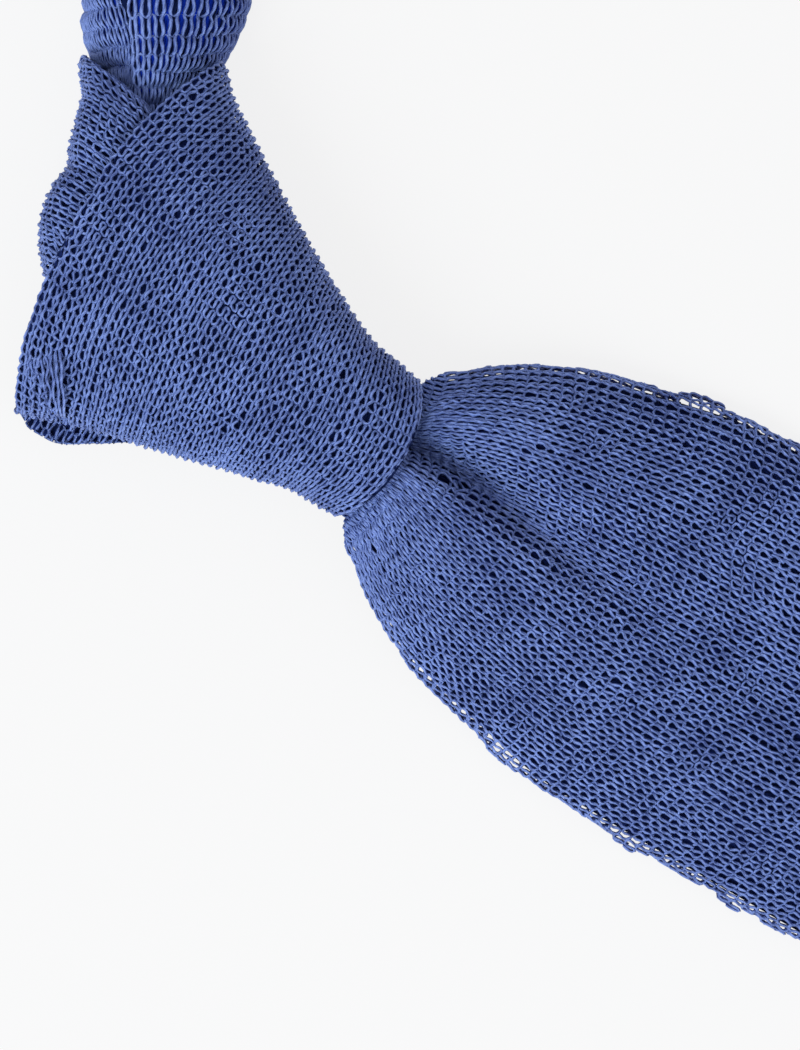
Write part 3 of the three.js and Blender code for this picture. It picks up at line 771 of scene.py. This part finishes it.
def yarn_material(yarn):
    """Plied cotton yarn, matt with a soft sheen: its fibres blur every highlight, its plies run
    round it once in about two millimetres, and its dye varies a little from stitch to stitch.
    Over this, each strand has painted light on its outer top and painted shade on its underside."""
    material, tree = new_material("Plied cotton yarn")
    place = add_node(tree, "ShaderNodeTexCoord")
    dye = calculate(tree, "ADD", noise(tree, place, 0.009, 2.0), noise(tree, place, 0.0011, 3.0))
    lay = add_node(tree, "ShaderNodeUVMap", uv_map="Lay")
    apart = add_node(tree, "ShaderNodeSeparateXYZ", {"Vector": lay.outputs["UV"]})
    along, around = apart.outputs["X"], apart.outputs["Y"]
    # Painted light and shade: a sine round each strand makes its outer top paler and its underside
    # deeper blue, added to the dye's noise.
    painted_top_light = calculate(tree, "SINE", calculate(tree, "MULTIPLY", around, math.pi * 2))
    share = add_node(
        tree,
        "ShaderNodeMapRange",
        {
            "Value": calculate(tree, "MULTIPLY_ADD", painted_top_light, 0.55, dye),
            "From Min": 0.72,
            "From Max": 1.7,
        },
    )
    colour = add_node(
        tree,
        "ShaderNodeMix",
        {
            "Factor": share.outputs["Result"],
            "A": (*yarn.deep, 1.0),
            "B": (*yarn.light, 1.0),
        },
        data_type="RGBA",
    )
    twist = calculate(tree, "MULTIPLY_ADD", along, math.pi * 2 * MM / yarn.twist, 0.0)
    plies = calculate(tree, "SINE", calculate(tree, "MULTIPLY_ADD", around, math.pi * 4, twist))
    relief = calculate(tree, "MULTIPLY_ADD", noise(tree, place, 0.00022, 2.0), 1.6, plies)
    bump = add_node(
        tree,
        "ShaderNodeBump",
        {"Height": relief, "Strength": 0.9, "Distance": 0.00011},
    )
    shader = add_node(
        tree,
        "ShaderNodeBsdfPrincipled",
        {
            "Base Color": colour.outputs["Result"],
            "Normal": bump.outputs["Normal"],
            "Roughness": 0.52,
            "IOR": 1.5,
            "Specular IOR Level": 0.5,
            "Sheen Weight": 0.25,
            "Sheen Roughness": 0.45,
            "Sheen Tint": (*yarn.light, 1.0),
        },
    )
    finish_material(tree, shader)
    return material


def inner_material(name, back, gap):
    """The tube's far layer, knitted of the same cotton and seen through the holes: matt, and darker
    than the yarn with painted shade, deepest inside each stitch, with painted light between the
    wales, where more light gets through."""
    material, tree = new_material(name)
    lay = add_node(tree, "ShaderNodeUVMap", uv_map="Lay")
    apart = add_node(tree, "ShaderNodeSeparateXYZ", {"Vector": lay.outputs["UV"]})
    tooth = calculate(tree, "PINGPONG", apart.outputs["X"], 0.5)
    slant = calculate(tree, "MULTIPLY_ADD", tooth, 1.6, apart.outputs["Y"])
    ridge = calculate(tree, "SINE", calculate(tree, "MULTIPLY", slant, math.pi * 2))
    # Painted shade and light: the colour goes from the painted shade of the holes in each wale to
    # the paler painted light between the wales.
    share = add_node(
        tree,
        "ShaderNodeMapRange",
        {"Value": tooth, "From Min": 0.12, "From Max": 0.42},
    )
    colour = add_node(
        tree,
        "ShaderNodeMix",
        {"Factor": share.outputs["Result"], "A": (*back, 1.0), "B": (*gap, 1.0)},
        data_type="RGBA",
    )
    bump = add_node(
        tree,
        "ShaderNodeBump",
        {"Height": ridge, "Strength": 0.8, "Distance": 0.0002},
    )
    shader = add_node(
        tree,
        "ShaderNodeBsdfPrincipled",
        {
            "Base Color": colour.outputs["Result"],
            "Normal": bump.outputs["Normal"],
            "Roughness": 0.95,
            "Specular IOR Level": 0.1,
        },
    )
    finish_material(tree, shader)
    return material


def material_named(name, make, *settings):
    """A material made once and then found by its name."""
    return bpy.data.materials.get(name) or make(*settings)


def add_piece(name, mesh, material):
    """A piece of the tie, with its place in its mesh, that rides on the root body."""
    piece = bpy.data.objects.new(name, mesh)
    bpy.context.scene.collection.objects.link(piece)
    mesh.materials.append(material)
    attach(piece, "root")
    return piece


def dress(node, surface, yarn, runs, inner, wales, course, lip=None):
    """Dresses one pass: its inner cloth, from a grid and two sides, and a piece of yarn for each
    run of courses, from its name, lines, outward ways, corners and share of the yarn's thickness."""
    yarn_look = material_named("Plied cotton yarn", yarn_material, yarn)
    # The far layer's colours are painted shade, with painted light between the wales that is paler
    # on the stretched neck band.
    if node == "neck_loop":
        name, gap = "Stretched knit, far layer", yarn.gap
    else:
        name, gap = "Cotton knit, far layer", yarn.inner
    inner_look = material_named(name, inner_material, name, yarn.hole, gap)
    along, across, top, bottom = inner
    mesh = slab_mesh(f"{node}_inner", surface, along, across, top, bottom, wales, course, lip)
    cloth = add_piece(f"{node}_inner", mesh, inner_look)
    for name, lines, out, sides, share in runs:
        mesh = tube_mesh(name, lines, out, yarn.thickness * share / MM / 2, sides)
        add_piece(name, mesh, yarn_look)
    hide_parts(node)


# Stage, in metres: the floor, the point that the camera and the lamp face, and their places.
FLOOR_HALF = 6.0
FLOOR_Z = -0.0001
TARGET = -0.00763, -0.0412, 0.008
LAMP_WAY = -0.966, 0.259, 0.95
LAMP_AWAY = 1.3
CAMERA_TURN = math.radians(-60)


class KnitTieYarn(bpy.types.PropertyGroup):
    thickness: FloatProperty(
        name="Yarn", description="Yarn's thickness", default=0.00059, unit="LENGTH", precision=5
    )
    depth: FloatProperty(
        name="Depth",
        description="How far a loop's legs lie in front of its mean height",
        default=0.00016,
        unit="LENGTH",
        precision=5,
    )
    twist: FloatProperty(
        name="Twist",
        description="Length of one turn of the plies",
        default=0.0019,
        unit="LENGTH",
        precision=5,
    )
    # The yarn's colour runs from deep to light blue by its dye's noise, by painted light on each
    # strand's top and by painted shade on its underside.
    light: FloatVectorProperty(
        name="Light blue",
        description="Palest blue of the yarn",
        default=linear("#849fe6"),
        subtype="COLOR",
    )
    deep: FloatVectorProperty(
        name="Deep blue",
        description="Deepest blue of the yarn",
        default=linear("#182f7c"),
        subtype="COLOR",
    )
    # The far layer is the yarn's own cotton: its inner and hole blues are painted shade inside the
    # tube, and its gap blue is painted light between the wales.
    inner: FloatVectorProperty(
        name="Inner blue",
        description="Blue of the far layer of the tube",
        default=linear("#1c2c6a"),
        subtype="COLOR",
    )
    hole: FloatVectorProperty(
        name="Hole",
        description="Blue in the depth of the holes",
        default=linear("#101e4a"),
        subtype="COLOR",
    )
    gap: FloatVectorProperty(
        name="Gap blue",
        description="Blue between the wales of the stretched neck band",
        default=linear("#1036b8"),
        subtype="COLOR",
    )


class KnitTieStage(bpy.types.PropertyGroup):
    distance: FloatProperty(
        name="Distance", description="Camera above the tie", default=2.4, unit="LENGTH"
    )
    view_height: FloatProperty(
        name="View height",
        description="Height of the photograph's frame at the tie",
        default=0.14583,
        unit="LENGTH",
        precision=5,
    )
    key: FloatProperty(
        name="Key light", description="Power of the large soft light", default=12.0, unit="POWER"
    )
    sky: FloatProperty(name="Sky", description="Strength of the light all round", default=0.62)
    glow: FloatProperty(
        name="Glow", description="Light of the floor's own, which fills its shadows", default=0.83
    )
    floor: FloatVectorProperty(
        name="Floor",
        description="Colour of the floor",
        default=linear("#5e5e5e"),
        subtype="COLOR",
    )


def even(course):
    """Spacing of courses that lie equally far apart all the way."""
    return table("at course", [(0, course), (1, course)])


def neck_shade_lip(share):
    """Width of the neck loop's dark lip beside its rim, a sheet of painted shade in the gap between
    the loop's sides near the knot: it fades from its upper end.
    """
    return 2.4 * np.exp(-((share / 0.06) ** 4))


class KNITTIE_OT_front_blade(bpy.types.Operator):
    """The broad end, out of the mouth of the knot, with its dimple and its scalloped sides"""

    bl_idname = "knittie.front_blade"
    bl_label = "Broad end"

    def execute(self, context):
        yarn = context.scene.knit_tie_yarn
        band, wales = Band(front_blade, rows=700, plan=0.7, least=46.0), 42
        spacing = table("at course", [(0, 1.65), (110, 1.7), (200, 2.3), (440, 2.5)])
        marks = course_marks(5.0, band.middle[-1] - 1.0, spacing)
        near = marks < BLADE_NEAR
        lines, out = strand_lines(
            band,
            marks[near],
            wales,
            1,
            10,
            yarn,
            11,
            round_by=1.2,
            depth=0.19,
            skew=0.1,
            holes=130,
            cluster=(18.0, 24.0, 10.0, 30),
            scallop=0.3,
        )
        half = len(lines) // 2
        runs = [
            ("front_blade_top_yarn", lines[:half], out[:half], 4, 0.82),
            ("front_blade_yarn", lines[half:], out[half:], 4, 0.82),
        ]
        lines, out = strand_lines(band, marks[~near], wales, 1, 5, yarn, 12, scallop=0.35)
        half = len(lines) // 2
        runs.append(("front_blade_middle_yarn", lines[:half], out[:half], 3, 0.9))
        runs.append(("front_blade_end_yarn", lines[half:], out[half:], 3, 0.9))
        along = np.concatenate([np.linspace(0, 0.22, 50), np.linspace(0.22, 0.999, 30)[1:]])
        inner = along, np.linspace(0.014, 0.986, 37), *CLOTH_SIDES
        dress("front_blade", front_blade, yarn, runs, inner, wales, 1.7)
        return {"FINISHED"}


class KNITTIE_OT_tail_blade(bpy.types.Operator):
    """The narrow end, flat on the table under the broad end"""

    bl_idname = "knittie.tail_blade"
    bl_label = "Narrow end"

    def execute(self, context):
        yarn = context.scene.knit_tie_yarn
        band, wales = Band(tail_blade), 26
        marks = course_marks(24.0, band.middle[-1] - 1.0, even(2.4))
        lines, out = strand_lines(band, marks, wales, 1, 5, yarn, 21)
        runs = [("tail_blade_yarn", lines, out, 3, 1.0)]
        inner = np.linspace(0, 0.999, 50), np.linspace(0.022, 0.978, 15), *CLOTH_SIDES
        dress("tail_blade", tail_blade, yarn, runs, inner, wales, 1.7)
        return {"FINISHED"}


class KNITTIE_OT_knot(bpy.types.Operator):
    """The knot: its back wrap on the table, the over pass and the front wrap"""

    bl_idname = "knittie.knot"
    bl_label = "Knot"

    def front(self, yarn):
        """The front wrap, with the roll of yarn at its folded corner."""
        band, wales = Band(front_wrap, anchor=0.5, rows=500, plain=plain_wrap), 40
        rows = [(-60, 1.55), (-14, 1.55), (-8, 1.65), (6, 1.6), (60, 1.5)]
        marks = course_marks(band.low + 0.6, band.high - 0.6, table("at course", rows))
        stitch, rough = WRAP_STITCH, 1.1
        more = {"holes": 150, "skew": 0.14, "depth": 0.2}
        lines, out = strand_lines(band, marks, wales, 1, 10, yarn, 31, stitch, rough, **more)
        rolled, over = roll_lines(plain_wrap, 35)
        runs = [
            ("front_wrap_yarn", lines, out, 4, 0.8),
            ("front_wrap_roll_yarn", rolled, over, 5, 0.74),
        ]
        inner = np.linspace(0.001, 0.999, 70), np.linspace(-0.007, 1.007, 44), *CLOTH_SIDES
        dress("front_wrap", front_wrap, yarn, runs, inner, wales, 1.6)

    def over(self, yarn):
        """The over pass, as far as it shows above the front wrap."""
        band, wales, course = Band(over_pass), 31, 1.45
        marks = course_marks(8.0, band.middle[-1] * 0.75, even(course))
        stitch, rough = WRAP_STITCH, 1.3
        more = {"holes": 24, "skew": 0.12, "inset": 0.6}
        lines, out = strand_lines(band, marks, wales, 1, 10, yarn, 41, stitch, rough, **more)
        runs = [("over_pass_yarn", lines, out, 4, 0.78)]
        inner = np.linspace(0, 1, 44), np.linspace(0.002, 0.998, 32), *CLOTH_SIDES
        dress("over_pass", over_pass, yarn, runs, inner, wales, course)

    def back(self, yarn):
        """The back wrap, flat on the table."""
        band, wales, course = Band(back_wrap, anchor=0.5), 26, 2.3
        marks = course_marks(band.low + 0.6, band.high - 0.6, even(course))
        lines, out = strand_lines(band, marks, wales, 1, 8, yarn, 51, WRAP_STITCH)
        runs = [("back_wrap_yarn", lines, out, 3, 0.9)]
        inner = np.linspace(0.001, 0.999, 24), np.linspace(0.002, 0.998, 20), *CLOTH_SIDES
        dress("back_wrap", back_wrap, yarn, runs, inner, wales, course)

    def execute(self, context):
        for make in (self.front, self.over, self.back):
            make(context.scene.knit_tie_yarn)
        return {"FINISHED"}


class KNITTIE_OT_neck_loop(bpy.types.Operator):
    """The band round the neck, which stands on its outer edge"""

    bl_idname = "knittie.neck_loop"
    bl_label = "Neck loop"

    def execute(self, context):
        yarn = context.scene.knit_tie_yarn
        band, wales, course = Band(neck_loop, rows=700, level=True), 11, 2.75
        marks = course_marks(0.5, band.middle[-1] - 4.0, even(course))
        near = (marks < NECK_NEAR) | (marks > band.middle[-1] - NECK_NEAR)
        first, last = np.argmin(near), len(near) - np.argmin(near[::-1])
        runs = []
        spans = [
            ("neck_loop_upper_yarn", marks[:first], 12, 4, 0.75, 0.4),
            ("neck_loop_outer_yarn", marks[first:last], 5, 3, 1.0, 0.3),
            ("neck_loop_lower_yarn", marks[last:], 12, 4, 0.95, 0.45),
        ]
        for i, (name, part, steps, sides, share, depth) in enumerate(spans):
            seed, stitch, rough = 61 + i, NECK_STITCH, 0.8
            more = {"round_by": wales / 2 + 0.6, "depth": depth}
            lines, out = strand_lines(
                band, part, wales, -1, steps, yarn, seed, stitch, rough, **more
            )
            runs.append((name, lines, out, sides, share))
        inner = np.linspace(0, 1, 180), np.linspace(0, 1, 16), *NECK_SIDES
        # The lip is a dark sheet of painted shade in the gap between the loop's two sides.
        flat, lip = (0.028, 0.405), neck_shade_lip
        dress("neck_loop", neck_loop, yarn, runs, inner, wales, course, lip)
        return {"FINISHED"}


class KNITTIE_OT_stage(bpy.types.Operator):
    """The pale floor, the soft light and the camera straight above"""

    bl_idname = "knittie.stage"
    bl_label = "Stage"

    def execute(self, context):
        scene, stage = context.scene, context.scene.knit_tie_stage
        scene.view_settings.view_transform = "Standard"
        signs = [(-1, -1), (1, -1), (1, 1), (-1, 1)]
        corners = [(x * FLOOR_HALF, y * FLOOR_HALF, FLOOR_Z) for x, y in signs]
        mesh = bpy.data.meshes.new("Floor")
        mesh.from_pydata(corners, [], [(0, 1, 2, 3)])
        material, tree = new_material("Matt paper")
        shader = add_node(
            tree,
            "ShaderNodeBsdfPrincipled",
            {
                "Base Color": (*stage.floor, 1.0),
                "Roughness": 0.9,
                "Specular IOR Level": 0.0,
                "Emission Color": (1.0, 1.0, 1.0, 1.0),
                "Emission Strength": stage.glow,
            },
        )
        finish_material(tree, shader)
        floor = bpy.data.objects.new("Floor", mesh)
        scene.collection.objects.link(floor)
        mesh.materials.append(material)

        world = bpy.data.worlds.new("Soft white")
        world.use_nodes = True
        world.node_tree.nodes["Background"].inputs["Color"].default_value = (0.97, 0.95, 1.0, 1)
        world.node_tree.nodes["Background"].inputs["Strength"].default_value = stage.sky
        scene.world = world

        target = Vector(TARGET)
        lamp = bpy.data.lights.new("Key", "AREA")
        lamp.shape, lamp.size, lamp.energy = "DISK", 1.0, stage.key
        lamp.color = (0.93, 1.0, 1.02)
        light = bpy.data.objects.new("Key", lamp)
        way = Vector(LAMP_WAY).normalized()
        light.location = target + way * LAMP_AWAY
        light.rotation_euler = way.to_track_quat("Z", "Y").to_euler()
        scene.collection.objects.link(light)

        view = bpy.data.cameras.new("Camera")
        view.sensor_width = 36.0
        view.lens = 36.0 * stage.distance / stage.view_height
        view.clip_end = 200.0
        camera = bpy.data.objects.new("Camera", view)
        roll = Matrix.Rotation(CAMERA_TURN, 4, "Z")
        camera.matrix_world = Matrix.Translation(target + Vector((0, 0, stage.distance))) @ roll
        scene.collection.objects.link(camera)
        scene.camera = camera
        return {"FINISHED"}


OPERATORS = (
    KNITTIE_OT_front_blade,
    KNITTIE_OT_tail_blade,
    KNITTIE_OT_knot,
    KNITTIE_OT_neck_loop,
    KNITTIE_OT_stage,
)


class KNITTIE_PT_panel(bpy.types.Panel):
    bl_label = "Knit Tie"
    bl_idname = "KNITTIE_PT_panel"
    bl_space_type = "VIEW_3D"
    bl_region_type = "UI"
    bl_category = "Knit Tie"

    def draw(self, context):
        for kind in OPERATORS:
            self.layout.operator(kind.bl_idname)


CLASSES = (KnitTieYarn, KnitTieStage, *OPERATORS, KNITTIE_PT_panel)


def register():
    for kind in CLASSES:
        bpy.utils.register_class(kind)
    bpy.types.Scene.knit_tie_yarn = PointerProperty(type=KnitTieYarn)
    bpy.types.Scene.knit_tie_stage = PointerProperty(type=KnitTieStage)


def unregister():
    del bpy.types.Scene.knit_tie_stage
    del bpy.types.Scene.knit_tie_yarn
    for kind in reversed(CLASSES):
        bpy.utils.unregister_class(kind)


def main():
    register()
    for kind in OPERATORS:
        group, name = kind.bl_idname.split(".")
        getattr(getattr(bpy.ops, group), name)()


if __name__ == "__main__":
    main()
